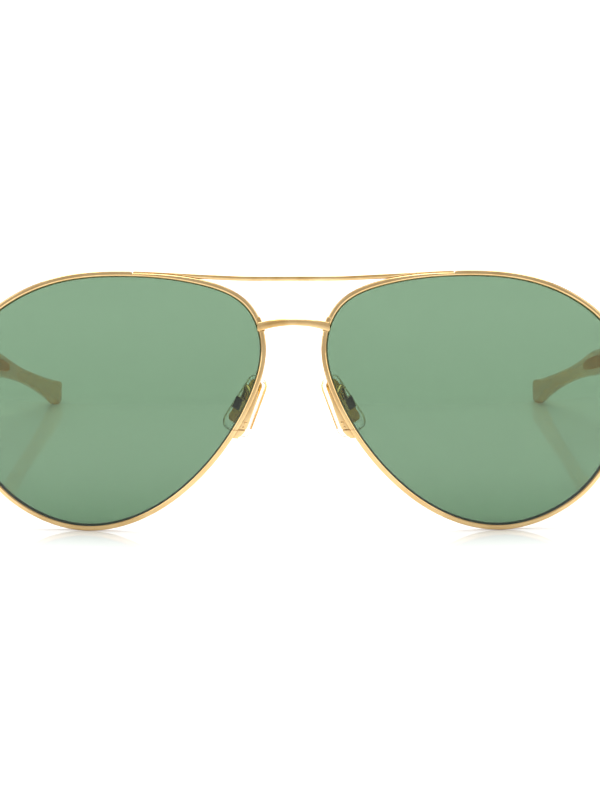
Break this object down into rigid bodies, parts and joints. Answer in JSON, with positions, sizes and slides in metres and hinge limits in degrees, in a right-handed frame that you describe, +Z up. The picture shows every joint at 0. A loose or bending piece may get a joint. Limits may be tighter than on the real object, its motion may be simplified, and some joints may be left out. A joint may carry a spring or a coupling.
{
  "type": "aviator sunglasses",
  "caption": "Aviator sunglasses with teardrop lenses in thin gilt rims, a double bridge, clear nose pads and folding temples with translucent tips.",
  "frame": {"origin": "centre of the footprint at table height, with the sunglasses standing open on their rims and temple tips", "axes": "+X to the wearer's left, +Y from the lenses back along the temples, +Z up"},
  "size_m": [0.1438, 0.1428, 0.0537],
  "materials": {
    "rim_gold": "polished",
    "bridge_gold": "polished",
    "temple_gold": "polished",
    "hinge_gold": "satin",
    "insert_gold": "satin",
    "screw_gold": "satin",
    "green_glass": "polished",
    "clear_silicone": "satin",
    "honey_acetate": "gloss"
  },
  "bodies": {
    "front": {"rim_left": "rim_gold", "rim_right": "rim_gold", "lens_left": "green_glass", "lens_right": "green_glass", "bridge": "bridge_gold", "brow_bar": "bridge_gold", "lock_block_upper_left": "rim_gold", "lock_block_upper_right": "rim_gold", "lock_block_lower_left": "rim_gold", "lock_block_lower_right": "rim_gold", "lock_screw_left": "screw_gold", "lock_screw_right": "screw_gold", "pad_arm_left": "rim_gold", "pad_arm_right": "rim_gold", "pad_box_left": "hinge_gold", "pad_box_right": "hinge_gold", "pad_screw_left": "screw_gold", "pad_screw_right": "screw_gold", "end_piece_left": "temple_gold", "end_piece_right": "temple_gold", "front_hinge_left": "hinge_gold", "front_hinge_right": "hinge_gold", "hinge_screw_left": "screw_gold", "hinge_screw_right": "screw_gold"},
    "left_temple": {"temple_left": "temple_gold", "temple_tip_left": "honey_acetate", "temple_hinge_left": "hinge_gold"},
    "right_temple": {"temple_right": "temple_gold", "temple_tip_right": "honey_acetate", "temple_hinge_right": "hinge_gold"},
    "left_pad": {"nose_pad_left": "clear_silicone", "pad_insert_left": "insert_gold"},
    "right_pad": {"nose_pad_right": "clear_silicone", "pad_insert_right": "insert_gold"}
  },
  "joints": [
    {"name": "left_temple_fold", "type": "hinge", "parent": "front", "child": "left_temple", "pos_m": [0.0678, -0.05588, 0.03757], "axis": [0, 0.0698, 0.9976], "range_deg": [0, 84]},
    {"name": "right_temple_fold", "type": "hinge", "parent": "front", "child": "right_temple", "pos_m": [-0.0678, -0.05588, 0.03757], "axis": [0, -0.0698, -0.9976], "range_deg": [0, 79]},
    {"name": "left_pad_rock", "type": "hinge", "parent": "front", "child": "left_pad", "pos_m": [0.01094, -0.0602, 0.0249], "axis": [0.4917, 0.8598, 0.138], "range_deg": [-8, 8]},
    {"name": "right_pad_rock", "type": "hinge", "parent": "front", "child": "right_pad", "pos_m": [-0.01094, -0.0602, 0.0249], "axis": [-0.4917, 0.8598, 0.138], "range_deg": [-8, 8]}
  ]
}
